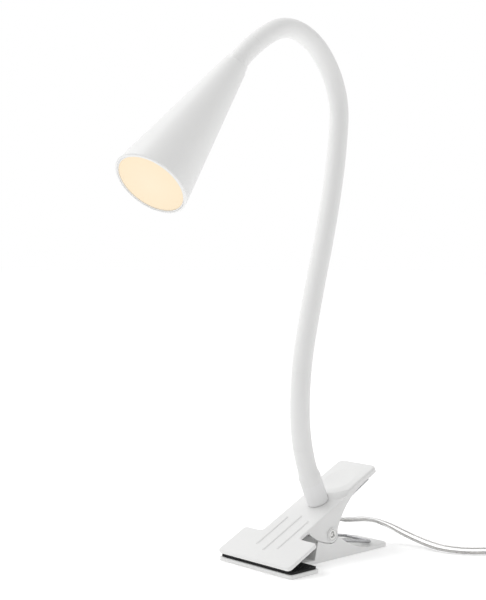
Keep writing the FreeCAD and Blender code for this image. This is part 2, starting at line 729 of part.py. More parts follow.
def head_parts():
    end, along, side = neck_frames()[-1]
    place = FreeCAD.Placement(end, FreeCAD.Rotation(side, V(), along, "ZXY"))
    makers = (shade, shade_ferrule, end_nipple, ferrule_nut, heat_sink, led_board, led_chips,
              board_screws, lens_ring, reflector, diffuser)
    return {maker.__name__: moved(maker(), place) for maker in makers}


# ---- Lead ----
SWITCH_PLACE = FreeCAD.Placement(SWITCH_CENTRE, FreeCAD.Rotation(Z, SWITCH_HEADING))
DRIVER_PLACE = FreeCAD.Placement(HANK_CENTRE + DRIVER_OFFSET, FreeCAD.Rotation(Z, DRIVER_HEADING))
ENTRY_HEIGHT = SWITCH_BASE_HEIGHT / 2 + FLOOR_GAP
SWITCH_EXIT = V(SWITCH_LENGTH / 2 + SWITCH_NOSE, 0, ENTRY_HEIGHT)
SWITCH_ENTRY = V(-SWITCH_EXIT.x, 0, ENTRY_HEIGHT)
DRIVER_ENTRY = V(-DRIVER_LENGTH / 2 - DRIVER_NOSE, 0, DRIVER_NOSE_HEIGHT)


def case_block(length, width, low, high, corner):
    """A block with rounded corners, centred on X and Y."""
    x, y = length / 2, width / 2
    return plate([(-x, -y), (x, -y), (x, y), (-x, y)], [corner] * 4, low, high)


def cord_nose(root, way, length):
    """A tapered strain relief, with a hole narrower than the cord that meets it."""
    wide, slim = [CORD_RADIUS + wall for wall in NOSE_WALLS]
    nose = Part.makeCone(wide, slim, length, root, way)
    return nose.cut(rod(root, root + way * length, CORD_RADIUS * 0.6))


def switch_base():
    block = case_block(SWITCH_LENGTH, SWITCH_WIDTH, FLOOR_GAP, SWITCH_BASE_HEIGHT, SWITCH_CORNER)
    block = soften(block, at_height(FLOOR_GAP), EDGE)
    hollow = case_block(SWITCH_LENGTH - 2 * CASE_WALL, SWITCH_WIDTH - 2 * CASE_WALL,
                        FLOOR_GAP + CASE_WALL, SWITCH_BASE_HEIGHT, SWITCH_CORNER - CASE_WALL)
    block = block.cut(hollow)
    for way in (-1, 1):
        root = V(way * (SWITCH_LENGTH / 2 - 0.5), 0, ENTRY_HEIGHT)
        block = block.fuse(cord_nose(root, X * way, SWITCH_NOSE + 0.5))
    return moved(block, SWITCH_PLACE)


def switch_cover():
    low = SWITCH_BASE_HEIGHT
    block = case_block(SWITCH_LENGTH, SWITCH_WIDTH, low, SWITCH_HEIGHT, SWITCH_CORNER)
    block = soften(block, at_height(SWITCH_HEIGHT), 2 * EDGE)
    hollow = case_block(SWITCH_LENGTH - 2 * CASE_WALL, SWITCH_WIDTH - 2 * CASE_WALL,
                        low, SWITCH_HEIGHT - CASE_WALL, SWITCH_CORNER - CASE_WALL)
    slot = (ROCKER_LENGTH / 2 + ROCKER_GAP, ROCKER_WIDTH / 2 + ROCKER_GAP)
    window = box((-slot[0], slot[0]), (-slot[1], slot[1]), (low, SWITCH_HEIGHT + 1))
    block = block.cut(hollow)
    ears = box((-2.5, 2.5), (slot[1], slot[1] + CASE_WALL), (ROCKER_AXIS - 2, SWITCH_HEIGHT - CASE_WALL))
    block = block.multiFuse([ears, ears.mirror(V(), Y)]).cut(window)
    reach = slot[1] + CASE_WALL
    block = block.cut(rod(V(0, -reach, ROCKER_AXIS), V(0, reach, ROCKER_AXIS), ROCKER_PIN))
    return moved(block, SWITCH_PLACE)


def rocker_pin():
    reach = ROCKER_WIDTH / 2 + ROCKER_GAP + CASE_WALL
    pin = rod(V(0, -reach, ROCKER_AXIS), V(0, reach, ROCKER_AXIS), ROCKER_PIN)
    return moved(pin, SWITCH_PLACE)


def switch_rocker():
    """A shallow V on top, so that one half stands proud and the other lies flush."""
    end, middle = ROCKER_LENGTH / 2, SWITCH_HEIGHT + 0.2
    low = ROCKER_AXIS - 2.2
    slope = end * math.tan(math.radians(ROCKER_TILT))
    side = Part.makePolygon([V(-end, 0, low + slope), V(0, 0, low), V(end, 0, low + slope),
                             V(end, 0, middle + slope), V(0, 0, middle), V(-end, 0, middle + slope),
                             V(-end, 0, low + slope)])
    body = Part.Face(side).extrude(V(0, ROCKER_WIDTH, 0)).translated(V(0, -ROCKER_WIDTH / 2, 0))
    reach = ROCKER_WIDTH
    bore = ROCKER_PIN + RUNNING_GAP
    body = body.cut(rod(V(0, -reach, ROCKER_AXIS), V(0, reach, ROCKER_AXIS), bore))
    body = body.rotated(V(0, 0, ROCKER_AXIS), Y, ROCKER_TILT)
    return moved(body, SWITCH_PLACE)


def driver_case():
    low, high = FLOOR_GAP, DRIVER_HEIGHT
    length = DRIVER_LENGTH - DRIVER_COVER
    block = case_block(length, DRIVER_WIDTH, low, high, SWITCH_CORNER)
    block = block.makeFillet(EDGE, [e for e in block.Edges if at_height(low)(e) or at_height(high)(e)])
    hollow = box((-length / 2 + CASE_WALL, length / 2 + 1),
                 (-DRIVER_WIDTH / 2 + CASE_WALL, DRIVER_WIDTH / 2 - CASE_WALL),
                 (low + CASE_WALL, high - CASE_WALL))
    root = V(-length / 2 + 0.5, 0, DRIVER_NOSE_HEIGHT)
    block = block.cut(hollow).fuse(cord_nose(root, -X, DRIVER_NOSE + 0.5))
    return moved(block.translated(V(-DRIVER_COVER / 2, 0, 0)), DRIVER_PLACE)


def plug_pin_places():
    x = DRIVER_LENGTH / 2
    return [V(x, side * PLUG_PIN_SPACE / 2, DRIVER_HEIGHT / 2) for side in (-1, 1)]


def driver_cover():
    low, high = FLOOR_GAP, DRIVER_HEIGHT
    x = (DRIVER_LENGTH / 2 - DRIVER_COVER, DRIVER_LENGTH / 2)
    y = (-DRIVER_WIDTH / 2, DRIVER_WIDTH / 2)
    block = box(x, y, (low, high))
    block = soften(block, lambda e: abs(e.BoundBox.XMin - x[1]) < 1e-4, EDGE)
    for place in plug_pin_places():
        block = block.cut(rod(place - X * DRIVER_COVER, place, PLUG_ROOT_RADIUS))
    return moved(block, DRIVER_PLACE)


def driver_pins():
    pins = []
    for place in plug_pin_places():
        shoulder, end = place + X * PLUG_PIN_SHOULDER, place + X * (PLUG_PIN_LENGTH - PLUG_PIN_RADIUS)
        root = rod(place - X * (DRIVER_COVER + 2), shoulder, PLUG_ROOT_RADIUS)
        tip = Part.makeSphere(PLUG_PIN_RADIUS, end)
        pins.append(rod(shoulder, end, PLUG_PIN_RADIUS).multiFuse([root, tip]))
    return moved(Part.makeCompound(pins), DRIVER_PLACE)


def driver_board():
    length = DRIVER_LENGTH - DRIVER_COVER - 2 * CASE_WALL - 2
    half = DRIVER_WIDTH / 2 - CASE_WALL - 1
    x = -DRIVER_COVER / 2
    low = FLOOR_GAP + CASE_WALL + 4
    card = box((x - length / 2, x + length / 2), (-half, half), (low, low + 1.6))
    core = box((x - 8, x + 8), (-8, 8), (low + 1.6, low + 14))
    can = rod(V(x - 16, 6, low + 1.6), V(x - 16, 6, low + 13), 5)
    return moved(card.multiFuse([core, can]), DRIVER_PLACE)


LAMP_ROUTE = [
    GLAND_END,
    V(21.9, 0.0, 18.7),
    V(34.0, -0.8, 17.2),
    V(47.5, -3.2, 16.0),
    V(57.5, -9.0, 12.4),
    V(62.8, -20.5, 7.2),
    V(64.2, -33.5, 3.6),
    V(63.6, -47.5, CORD_FLOOR),
    V(69.5, -61.5, CORD_FLOOR),
    V(80.0, -70.3, CORD_FLOOR),
    V(88.0, -78.0, CORD_FLOOR),
    SWITCH_PLACE.multVec(SWITCH_ENTRY),
]
MAINS_ROUTE = [
    SWITCH_PLACE.multVec(SWITCH_EXIT),
    V(89.9, -152.5, CORD_FLOOR),
    V(83.5, -163.0, CORD_FLOOR),
    V(72.0, -167.6, CORD_FLOOR),
    V(61.0, -164.5, CORD_FLOOR + 0.4),
]
TAIL_ROUTE = [
    V(35.5, -166.0, 10.0),
    V(23.5, -169.8, 11.5),
    V(10.5, -169.3, 13.5),
    V(1.3, -162.0, 16.0),
    V(-0.8, -149.9, 18.2),
    V(4.6, -140.6, 19.2),
    V(14.6, -136.4, 19.5),
    DRIVER_PLACE.multVec(DRIVER_ENTRY),
]


def bend_radii(points):
    """Each bend as large as its two runs allow."""
    radii = [0]
    for before, point, after in zip(points, points[1:], points[2:]):
        a, b = point - before, after - point
        radii.append(0.45 * min(a.Length, b.Length) / math.tan(a.getAngle(b) / 2))
    return radii + [0]


def cord_tube(points, label):
    radii = bend_radii(points)
    wire = path(points, radii)
    section = Part.Wire(Part.makeCircle(CORD_RADIUS, points[0], points[1] - points[0]))
    tube = wire.makePipeShell([section], True, True)
    expected = math.pi * CORD_RADIUS ** 2 * wire.Length
    print(f"{label}: length {wire.Length:.1f}, bend radii", [round(r, 1) for r in radii[1:-1]],
          f"volume over expected {tube.Volume / expected:.4f}")
    return tube


def cord_coil():
    """The outer shape of the lead's wound length, lying flat."""
    inside = HANK_RADIUS - HANK_WIDTH
    low, high = HANK_CENTRE + Z * FLOOR_GAP, HANK_CENTRE + Z * HANK_HEIGHT
    return rod(low, high, HANK_RADIUS).cut(rod(low, high, inside))


def main():
    os.makedirs("parts", exist_ok=True)
    makers = (lower_jaw_shell, lower_jaw_pad, upper_jaw_shell, upper_jaw_pad, pivot_rivet,
              spring_bush, torsion_spring, neck_collar, base_nipple, collar_nut, wiring_cover,
              cover_screw, cord_gland, switch_base, switch_cover, switch_rocker, rocker_pin,
              cord_coil, driver_case, driver_cover, driver_pins, driver_board)
    parts = {maker.__name__: maker() for maker in makers}
    parts.update(neck_parts())
    parts.update(head_parts())
    cords = {
        "lamp_cord": (LAMP_ROUTE, "cord_gland", "switch_base"),
        "mains_cord": (MAINS_ROUTE, "switch_base"),
        "driver_cord": (TAIL_ROUTE, "driver_case"),
    }
    for name, (route, *ends) in cords.items():
        tube = cord_tube(route, name)
        for end in ends:
            tube = tube.cut(parts[end])
        parts[name] = tube
    for name, shape in parts.items():
        shape.exportStep(f"parts/{name}.step")


if __name__ == "__main__":
    main()
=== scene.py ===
"""The looks of the clip-on reading lamp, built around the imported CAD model. Metres; routes in mm."""
import json
import math

import bmesh
import bpy
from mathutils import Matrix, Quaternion, Vector


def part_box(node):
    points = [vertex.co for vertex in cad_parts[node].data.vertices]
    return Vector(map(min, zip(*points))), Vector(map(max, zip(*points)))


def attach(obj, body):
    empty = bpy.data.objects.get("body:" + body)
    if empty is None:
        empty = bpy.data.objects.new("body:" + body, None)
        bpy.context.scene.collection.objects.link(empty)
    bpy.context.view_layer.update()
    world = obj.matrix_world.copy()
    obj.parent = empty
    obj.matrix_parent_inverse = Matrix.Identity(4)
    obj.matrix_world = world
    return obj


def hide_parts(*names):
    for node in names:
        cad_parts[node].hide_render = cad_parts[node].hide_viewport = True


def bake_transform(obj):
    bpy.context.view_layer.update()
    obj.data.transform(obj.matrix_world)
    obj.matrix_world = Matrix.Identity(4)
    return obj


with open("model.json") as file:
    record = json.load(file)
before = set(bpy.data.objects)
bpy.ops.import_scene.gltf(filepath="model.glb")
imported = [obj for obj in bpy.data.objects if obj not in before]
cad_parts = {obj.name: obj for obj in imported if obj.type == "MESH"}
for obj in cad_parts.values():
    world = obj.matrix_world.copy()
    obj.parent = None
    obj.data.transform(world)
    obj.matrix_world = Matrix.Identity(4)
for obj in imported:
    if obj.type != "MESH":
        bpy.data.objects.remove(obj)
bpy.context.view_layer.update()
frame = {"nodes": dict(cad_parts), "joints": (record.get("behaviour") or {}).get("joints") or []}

MM = 0.001
X, Y, Z = Vector((1, 0, 0)), Vector((0, 1, 0)), Vector((0, 0, 1))
scene = bpy.context.scene
nodes = frame["nodes"]


# ---- Camera ----
def add_camera():
    """The view that the lamp is seen from. Returns the direction it looks in."""
    azimuth, pitch = math.radians(-42.6), math.radians(2.15)
    forward = Vector((-math.sin(azimuth), math.cos(azimuth), 0)) * math.cos(pitch) - Z * math.sin(pitch)
    data = bpy.data.cameras.new("camera")
    data.sensor_fit = "VERTICAL"
    data.sensor_height = 36.0
    data.lens = 72.27
    data.clip_start, data.clip_end = 0.05, 60.0
    camera = bpy.data.objects.new("camera", data)
    camera.location = (-0.5262, -0.5086, 0.1837)
    camera.rotation_euler = forward.to_track_quat("-Z", "Y").to_euler()
    scene.collection.objects.link(camera)
    scene.camera = camera
    return forward


VIEW = add_camera()


# ---- Meshes ----
SHARP_FROM = math.radians(42)


def piece(name, mesh, smooth=True):
    """A new object from a bmesh, shaded smooth except at its sharp edges, unless it is meant to be flat."""
    bmesh.ops.recalc_face_normals(mesh, faces=mesh.faces)
    data = bpy.data.meshes.new(name)
    mesh.to_mesh(data)
    mesh.free()
    data.polygons.foreach_set("use_smooth", [smooth] * len(data.polygons))
    if smooth:
        data.set_sharp_from_angle(angle=SHARP_FROM)
    obj = bpy.data.objects.new(name, data)
    scene.collection.objects.link(obj)
    return obj


def circle(radius, count):
    return [(radius * math.cos(math.tau * k / count), radius * math.sin(math.tau * k / count))
            for k in range(count)]


def skin_rings(mesh, rings, cap):
    """Joins one ring of vertices to the next, and closes the two ends when asked."""
    count = len(rings[0])
    for a, b in zip(rings, rings[1:]):
        for j in range(count):
            mesh.faces.new((a[j], a[(j + 1) % count], b[(j + 1) % count], b[j]))
    if cap:
        mesh.faces.new(rings[0])
        mesh.faces.new(rings[-1])


def carried(points, sides, outline):
    """The outline's place at each point of a line. Its first axis is the side given there."""
    out = []
    for i, point in enumerate(points):
        along = (points[min(i + 1, len(points) - 1)] - points[max(i - 1, 0)]).normalized()
        side = (sides[i] - along * sides[i].dot(along)).normalized()
        up = along.cross(side)
        out.append([point + side * u + up * v for u, v in outline])
    return out


def sweep(name, points, sides, outline):
    """A closed solid that carries one outline along a line."""
    mesh = bmesh.new()
    rings = [[mesh.verts.new(p) for p in ring] for ring in carried(points, sides, outline)]
    skin_rings(mesh, rings, True)
    return piece(name, mesh)


def lathe(name, profile, start, way, count=48):
    """A closed solid of revolution, from (radius, distance along) pairs."""
    way = way.normalized()
    side = way.orthogonal().normalized()
    up = way.cross(side)
    mesh = bmesh.new()
    rings = []
    for radius, distance in profile:
        centre = start + way * distance
        rings.append([mesh.verts.new(centre + side * u + up * v) for u, v in circle(radius, count)])
    skin_rings(mesh, rings, True)
    return piece(name, mesh)


# ---- Cords ----
CORD_THICK = 2.4 * MM
CORE_SPACE = 1.2 * MM
CORE_RADIUS = 0.46 * MM
COIL_CENTRE = Vector((46.0, -141.0, 0))
LAMP_ROUTE = [
    (12.2, 0, 23.6), (21.9, 0, 18.7), (34.0, -0.8, 17.2), (47.5, -3.2, 16.0), (57.5, -9.0, 12.2),
    (62.8, -20.5, 7.0), (64.2, -33.5, 4.0), (63.6, -47.5, 2.7), (69.5, -61.5, 2.4),
    (80.0, -70.3, 2.4), (88.6, -78.0, 2.6), (92.0, -83.6, 3.05), (92.21, -86.02, 3.05),
]
MAINS_ROUTE = [
    (90.19, -143.98, 3.05), (89.9, -152.5, 1.75), (83.5, -163.0, 1.75), (72.0, -167.6, 1.75),
    (61.0, -166.2, 2.4),
]
TAIL_ROUTE = [
    (34.9, -167.4, 15.4), (23.5, -169.6, 13.2), (10.5, -168.4, 10.4), (1.9, -161.0, 9.0),
    (-0.2, -149.9, 10.4), (4.4, -140.8, 14.6), (14.2, -136.4, 18.8), (22.0, -136.0, 19.5),
]
# Turn, radius and height of the wound cord, at the knots of its three layers.
COIL_KNOTS = [
    (0.06, 28.6, 2.6), (3.4, 20.2, 2.6), (3.9, 19.4, 6.6), (4.3, 20.0, 6.9), (6.6, 27.6, 6.9),
    (7.0, 28.6, 10.9), (7.4, 27.9, 11.1), (9.80, 21.3, 11.1), (9.95, 21.3, 12.0),
    (10.03, 22.0, 14.4), (10.10, 24.9, 15.7),
]
COIL_FIRST_ANGLE = -57.4
# How far the lamp's flat lead leans from the level, in degrees, at lengths along it in metres.
LAMP_LEANS = ((0, 0), (0.035, 10), (0.070, 48), (0.118, 48), (0.145, 0))
COIL_POINTS_PER_TURN = 15
# The length over which the lead turns onto its edge at each end of the coil.
COIL_EASE = 22 * MM
SWITCH_MIDDLE = Vector((91.2, -115.0, 3.05)) * MM
SWITCH_WAY = Quaternion(Z, math.radians(-92.0)) @ X
SWITCH_HALF = 22 * MM
DRIVER_ENTRY = Vector((30.0, -136.0, 19.5)) * MM
SWITCH_BOOT_LENGTH, DRIVER_BOOT_LENGTH = 7.0, 8.0


def line_of(points, resolution):
    """Points read from the smooth line that has the route's points as its control points."""
    curve = bpy.data.curves.new("route", "CURVE")
    curve.dimensions = "3D"
    curve.resolution_u = resolution
    spline = curve.splines.new("NURBS")
    spline.points.add(len(points) - 1)
    for knot, point in zip(spline.points, points):
        knot.co = (*[c * MM for c in point], 1)
    spline.order_u = 3
    spline.use_endpoint_u = True
    obj = bpy.data.objects.new("route", curve)
    scene.collection.objects.link(obj)
    mesh = bpy.data.meshes.new_from_object(obj)
    found = [v.co.copy() for v in mesh.vertices]
    bpy.data.objects.remove(obj)
    bpy.data.curves.remove(curve)
    bpy.data.meshes.remove(mesh)
    return found


def smooth_step(x):
    x = min(max(x, 0.0), 1.0)
    return x * x * (3 - 2 * x)


def coil_points():
    """The wound part of the mains lead: three layers, in, out and in again, then over the top."""
    first, last = COIL_KNOTS[0][0], COIL_KNOTS[-1][0]
    count = int((last - first) * COIL_POINTS_PER_TURN)
    out = []
    for i in range(count + 1):
        turn = first + (last - first) * i / count
        for (t0, r0, z0), (t1, r1, z1) in zip(COIL_KNOTS, COIL_KNOTS[1:]):
            if turn <= t1:
                break
        share = (turn - t0) / (t1 - t0)
        angle = math.radians(COIL_FIRST_ANGLE - 360 * turn)
        radius = r0 + (r1 - r0) * share
        radius *= 1 + 0.012 * math.cos(2 * angle + 0.7) + 0.004 * math.sin(5 * angle + turn)
        height = z0 + (z1 - z0) * smooth_step(share) + 0.12 * math.sin(1.7 * angle)
        out.append((COIL_CENTRE.x + radius * math.cos(angle),
                    COIL_CENTRE.y + radius * math.sin(angle), height))
    return out


def lengths_along(points):
    out = [0.0]
    for a, b in zip(points, points[1:]):
        out.append(out[-1] + (b - a).length)
    return out


def wide_sides(points, leans):
    """The flat cord's wide direction: its lean from the level, eased between the given lengths."""
    runs = lengths_along(points)
    sides = []
    for i, point in enumerate(points):
        along = (points[min(i + 1, len(points) - 1)] - points[max(i - 1, 0)]).normalized()
        level = along.cross(Z).normalized()
        for (start, lean), (end, after) in zip(leans, leans[1:]):
            if runs[i] <= end:
                break
        lean += (after - lean) * smooth_step((runs[i] - start) / (end - start))
        sides.append(Quaternion(along, math.radians(lean)) @ level)
    return sides


def flat_outline():
    """Two round insulated cores, side by side, moulded together with a shallow groove between."""
    radius = CORD_THICK / 2
    out = []
    for centre, first in ((CORE_SPACE, -66), (-CORE_SPACE, 114)):
        for k in range(8):
            angle = math.radians(first + 132 * k / 7)
            out.append((centre + radius * math.cos(angle), radius * math.sin(angle)))
    return out


def flat_cord(name, points, sides):
    """The clear jacket and the two stranded conductors that show through it."""
    jacket = sweep(name, points, sides, flat_outline())
    cores = []
    for k, hand in enumerate((-1, 1)):
        line = [p + s * (hand * CORE_SPACE) for p, s in zip(points, sides)]
        cores.append(sweep(f"{name}_conductor_{k + 1}", line, sides, circle(CORE_RADIUS, 8)))
    return jacket, cores


def boot(name, start, way, length):
    """A ribbed strain relief that narrows towards the cord. Its length is in mm."""
    root, taper, groove, ribs = 3.35, 0.42, 0.35, 5
    step = length / ribs
    profile = [(root, -0.4)]
    for k in range(ribs):
        at, radius = step * k, root - taper * k / ribs
        profile += [(radius, at), (radius, at + 0.55 * step), (radius - groove, at + 0.68 * step),
                    (radius - groove, at + 0.92 * step)]
    profile += [(2.9, length), (2.75, length + 0.25)]
    return lathe(name, [(r * MM, d * MM) for r, d in profile], start, way)


lamp_line = line_of(LAMP_ROUTE, 10)
lamp_sides = wide_sides(lamp_line, LAMP_LEANS)
lamp_cord, lamp_cores = flat_cord("lamp_lead", lamp_line, lamp_sides)
for obj in (lamp_cord, *lamp_cores):
    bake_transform(obj)

wound = coil_points()
mains_line = line_of(MAINS_ROUTE + wound + TAIL_ROUTE, 6)
runs = lengths_along(mains_line)


def length_to(target):
    """The mains lead's length up to the point nearest to the target."""
    target = Vector(target) * MM
    near = min(range(len(mains_line)), key=lambda i: (mains_line[i] - target).length)
    return runs[near]


into_coil, out_of_coil = length_to(MAINS_ROUTE[-2]), length_to(wound[-1])
mains_sides = wide_sides(mains_line, ((0, 0), (into_coil, 0), (into_coil + COIL_EASE, 90),
                                      (out_of_coil - COIL_EASE, 90), (out_of_coil, 0), (runs[-1], 0)))
mains_cord, mains_cores = flat_cord("mains_lead", mains_line, mains_sides)
for obj in (mains_cord, *mains_cores):
    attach(obj, "clip_base")

boots = [
    boot("switch_boot_in", SWITCH_MIDDLE - SWITCH_WAY * SWITCH_HALF, -SWITCH_WAY, SWITCH_BOOT_LENGTH),
    boot("switch_boot_out", SWITCH_MIDDLE + SWITCH_WAY * SWITCH_HALF, SWITCH_WAY, SWITCH_BOOT_LENGTH),
    boot("driver_boot", DRIVER_ENTRY, -X, DRIVER_BOOT_LENGTH),
]
for obj in boots:
    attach(obj, "clip_base")


TIE_ANGLE = math.radians(196)
TIE_HALF_WIDTH, TIE_HALF_HEIGHT = 7.25, 6.75
TIE_SQUARENESS = 5
# Across the strap and out from the bundle, in mm.
TIE_OUTLINE = ((-4, 0.0), (-4, 0.35), (-3.7, 0.5), (3.7, 0.5), (4, 0.35), (4, 0.0),
               (3.7, -0.12), (-3.7, -0.12))


def coil_tie():
    """A soft strap in a rounded box round the bundle of turns."""
    out = Vector((math.cos(TIE_ANGLE), math.sin(TIE_ANGLE), 0))
    around = Vector((-out.y, out.x, 0))
    middle = COIL_CENTRE * MM + out * (24.0 * MM) + Z * (6.85 * MM)
    mesh = bmesh.new()
    rings = []
    for c, s in circle(1, 64):
        reach = 1 / (abs(c / TIE_HALF_WIDTH) ** TIE_SQUARENESS
                     + abs(s / TIE_HALF_HEIGHT) ** TIE_SQUARENESS) ** (1 / TIE_SQUARENESS)
        normal = (out * c + Z * s).normalized()
        at = middle + normal * (reach * MM)
        rings.append([mesh.verts.new(at + around * (u * MM) + normal * (v * MM))
                      for u, v in TIE_OUTLINE])
    skin_rings(mesh, rings + rings[:1], False)
    return piece("lead_tie", mesh)


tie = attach(coil_tie(), "clip_base")

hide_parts("lamp_cord")
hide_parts("mains_cord", "cord_coil", "driver_cord")


# ---- Neck ----
ARM_TILT = math.radians(-25.2)
ARM_FRONT = Vector((-51.6, 0, 6.54)) * MM
NECK_BASE = Vector((61.4, 0, 14.0)) * MM
NECK_RADIUS = 6.0 * MM
NECK_INNER = 4.62 * MM
NECK_SIDES = 48
SEGMENT = 45.7 * MM
# Each segment's bend in degrees, back and sideways.
NECK_BENDS = ((25.0, 0.0), (14.5, -1.0), (4.0, -1.5), (-1.5, -2.0), (-6.0, -1.5), (-52.0, -1.0),
              (-74.0, 3.5), (-21.0, -2.5))
STEPS = 36
# Length along the sleeve in mm, and its width there over its plain width.
FLARE = ((0, 1.125), (2.4, 1.125), (3.8, 1.15), (5.4, 1.1), (7.6, 1.02), (9.6, 1.0))
# Radius, and distance along from the collar's top.
COLLAR = ((5.2, -14.0), (6.3, -14.0), (6.75, -13.6), (6.75, 0.0), (5.2, 0.0))


def neck_line():
    """Points and sides along the whole neck, STEPS to a segment."""
    tilt = Quaternion(Y, ARM_TILT)
    point, along, side = ARM_FRONT + tilt @ NECK_BASE, tilt @ Z, Y.copy()
    points, sides = [point.copy()], [side.copy()]
    for back, sideways in NECK_BENDS:
        axis = side * back + side.cross(along) * sideways
        angle = math.radians(axis.length)
        axis.normalize()
        centre = point + axis.cross(along) * (SEGMENT / angle)
        for step in range(1, STEPS + 1):
            turn = Quaternion(axis, angle * step / STEPS)
            points.append(centre + turn @ (point - centre))
            sides.append(turn @ side)
        turn = Quaternion(axis, angle)
        point, along, side = centre + turn @ (point - centre), turn @ along, turn @ side
    return points, sides


def hollow_sweep(name, points, sides, widths):
    """A length of soft sleeve, hollow along its middle."""
    mesh = bmesh.new()
    outside = carried(points, sides, circle(NECK_RADIUS, NECK_SIDES))
    inside = carried(points, sides, circle(NECK_INNER, NECK_SIDES))
    outer = [[mesh.verts.new(at + (p - at) * width) for p in ring]
             for at, width, ring in zip(points, widths, outside)]
    inner = [[mesh.verts.new(p) for p in ring] for ring in inside]
    skin_rings(mesh, outer, False)
    skin_rings(mesh, inner, False)
    for a, b in ((outer[0], inner[0]), (outer[-1], inner[-1])):
        skin_rings(mesh, [a, b], False)
    return piece(name, mesh)


def flare(run):
    """The sleeve's width over its plain width, where its end is stretched over the collar."""
    for (a, before), (b, after) in zip(FLARE, FLARE[1:]):
        if run <= b * MM:
            return before + (after - before) * (run / MM - a) / (b - a)
    return 1.0


neck_points, neck_sides = neck_line()
neck_widths = [flare(run) for run in lengths_along(neck_points)]
SEGMENTS = len(NECK_BENDS)
chain = ["clip_upper"] + [f"neck_{k}" for k in range(2, SEGMENTS)] + ["lamp_head"]
cuts = [0] + [STEPS * k + STEPS // 2 for k in range(SEGMENTS)] + [STEPS * SEGMENTS]
sleeves = []
for k, (a, b) in enumerate(zip(cuts, cuts[1:])):
    part = slice(a, b + 1)
    sleeve = hollow_sweep(f"neck_skin_{k}", neck_points[part], neck_sides[part], neck_widths[part])
    if k == 0:
        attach(sleeve, chain[0])
    elif k == SEGMENTS:
        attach(sleeve, chain[-1])
    else:
        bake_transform(sleeve)
    sleeves.append(sleeve)
for k, sleeve in enumerate(sleeves[:SEGMENTS]):
    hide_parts(f"neck_sleeve_{k + 1}")

collar_way = (neck_points[1] - neck_points[0]).normalized()
collar = lathe("collar_skin", [(r * MM, d * MM) for r, d in COLLAR], neck_points[0], collar_way)
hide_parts("neck_collar")
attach(collar, "clip_upper")


# ---- Spring and pads ----
# The rivet's core: half the length it spans, and its radius at distances from its start, in mm.
RIVET_HALF = 15.0
RIVET_CORE = ((0.9, -0.75), (1.35, -0.6), (1.6, -0.2), (1.6, 30.2), (1.35, 30.6), (0.9, 30.75))


def copy_of(node, name):
    """A mesh of its own with a node's shape; the node itself is hidden."""
    data = nodes[node].data.copy()
    obj = bpy.data.objects.new(name, data)
    scene.collection.objects.link(obj)
    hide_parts(node)
    return obj


pivot = Vector(next(j["pos_m"] for j in frame["joints"] if j["name"] == "jaw_open"))
spring = copy_of("torsion_spring", "spring_wire")
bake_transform(spring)

rivet_core = lathe("rivet_core", [(r * MM, d * MM) for r, d in RIVET_CORE],
                   pivot - Y * (RIVET_HALF * MM), Y)
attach(rivet_core, "clip_base")


def grip_pad():
    """The lower pad, moulded with rows of small round pimples."""
    low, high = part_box("lower_jaw_pad")
    mesh = bmesh.new()
    mesh.from_mesh(nodes["lower_jaw_pad"].data)
    pitch, radius, rise = 1.9 * MM, 0.62 * MM, 0.42 * MM
    row_pitch = pitch * 0.87
    rows = int((high.x - low.x - 2.6 * MM) / row_pitch) + 1
    for row in range(rows):
        x = low.x + 1.35 * MM + row * row_pitch
        shift = pitch / 2 * (row % 2)
        count = int((high.y - low.y - 2.4 * MM - shift) / pitch) + 1
        for k in range(count):
            y = low.y + 1.2 * MM + shift + k * pitch
            rings = []
            for lift, share in ((-0.05, 1.0), (0.5, 0.86), (0.85, 0.52), (1.0, 0.15)):
                rings.append([mesh.verts.new((x + u * share, y + v * share, high.z + rise * lift))
                              for u, v in circle(radius, 8)])
            skin_rings(mesh, rings, True)
    return piece("grip_pad", mesh)


pad = grip_pad()
pad.data.shade_flat()
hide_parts("lower_jaw_pad")
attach(pad, "clip_base")


# ---- Materials ----
def material(name, colour, rough, spread=0.03, spread_scale=60, grain=0.0, grain_scale=2500,
             rough_spread=0.05, **sockets):
    """A finish with slow changes of shade, uneven gloss and a fine moulded or drawn grain."""
    made = bpy.data.materials.new(name)
    made.use_nodes = True
    tree = made.node_tree
    shader = tree.nodes["Principled BSDF"]
    link = tree.links.new
    place = tree.nodes.new("ShaderNodeTexCoord")

    def noise(scale, detail):
        node = tree.nodes.new("ShaderNodeTexNoise")
        node.inputs["Scale"].default_value = scale
        node.inputs["Detail"].default_value = detail
        link(place.outputs["Object"], node.inputs["Vector"])
        return node.outputs["Fac"]

    ramp = tree.nodes.new("ShaderNodeValToRGB")
    for element, share in zip(ramp.color_ramp.elements, (1 - spread, 1 + spread)):
        element.color = (*[min(c * share, 1.0) for c in colour], 1)
    ramp.color_ramp.elements[0].position, ramp.color_ramp.elements[1].position = 0.3, 0.7
    link(noise(spread_scale, 4), ramp.inputs["Fac"])
    link(ramp.outputs["Color"], shader.inputs["Base Color"])
    reach = tree.nodes.new("ShaderNodeMapRange")
    reach.inputs["To Min"].default_value = max(rough - rough_spread, 0.02)
    reach.inputs["To Max"].default_value = rough + rough_spread
    link(noise(spread_scale * 6, 3), reach.inputs["Value"])
    link(reach.outputs["Result"], shader.inputs["Roughness"])
    if grain > 0:
        bump = tree.nodes.new("ShaderNodeBump")
        bump.inputs["Strength"].default_value = grain
        bump.inputs["Distance"].default_value = 0.0001
        link(noise(grain_scale, 2), bump.inputs["Height"])
        link(bump.outputs["Normal"], shader.inputs["Normal"])
    for socket, value in sockets.items():
        shader.inputs[socket.replace("_", " ")].default_value = value
    return made


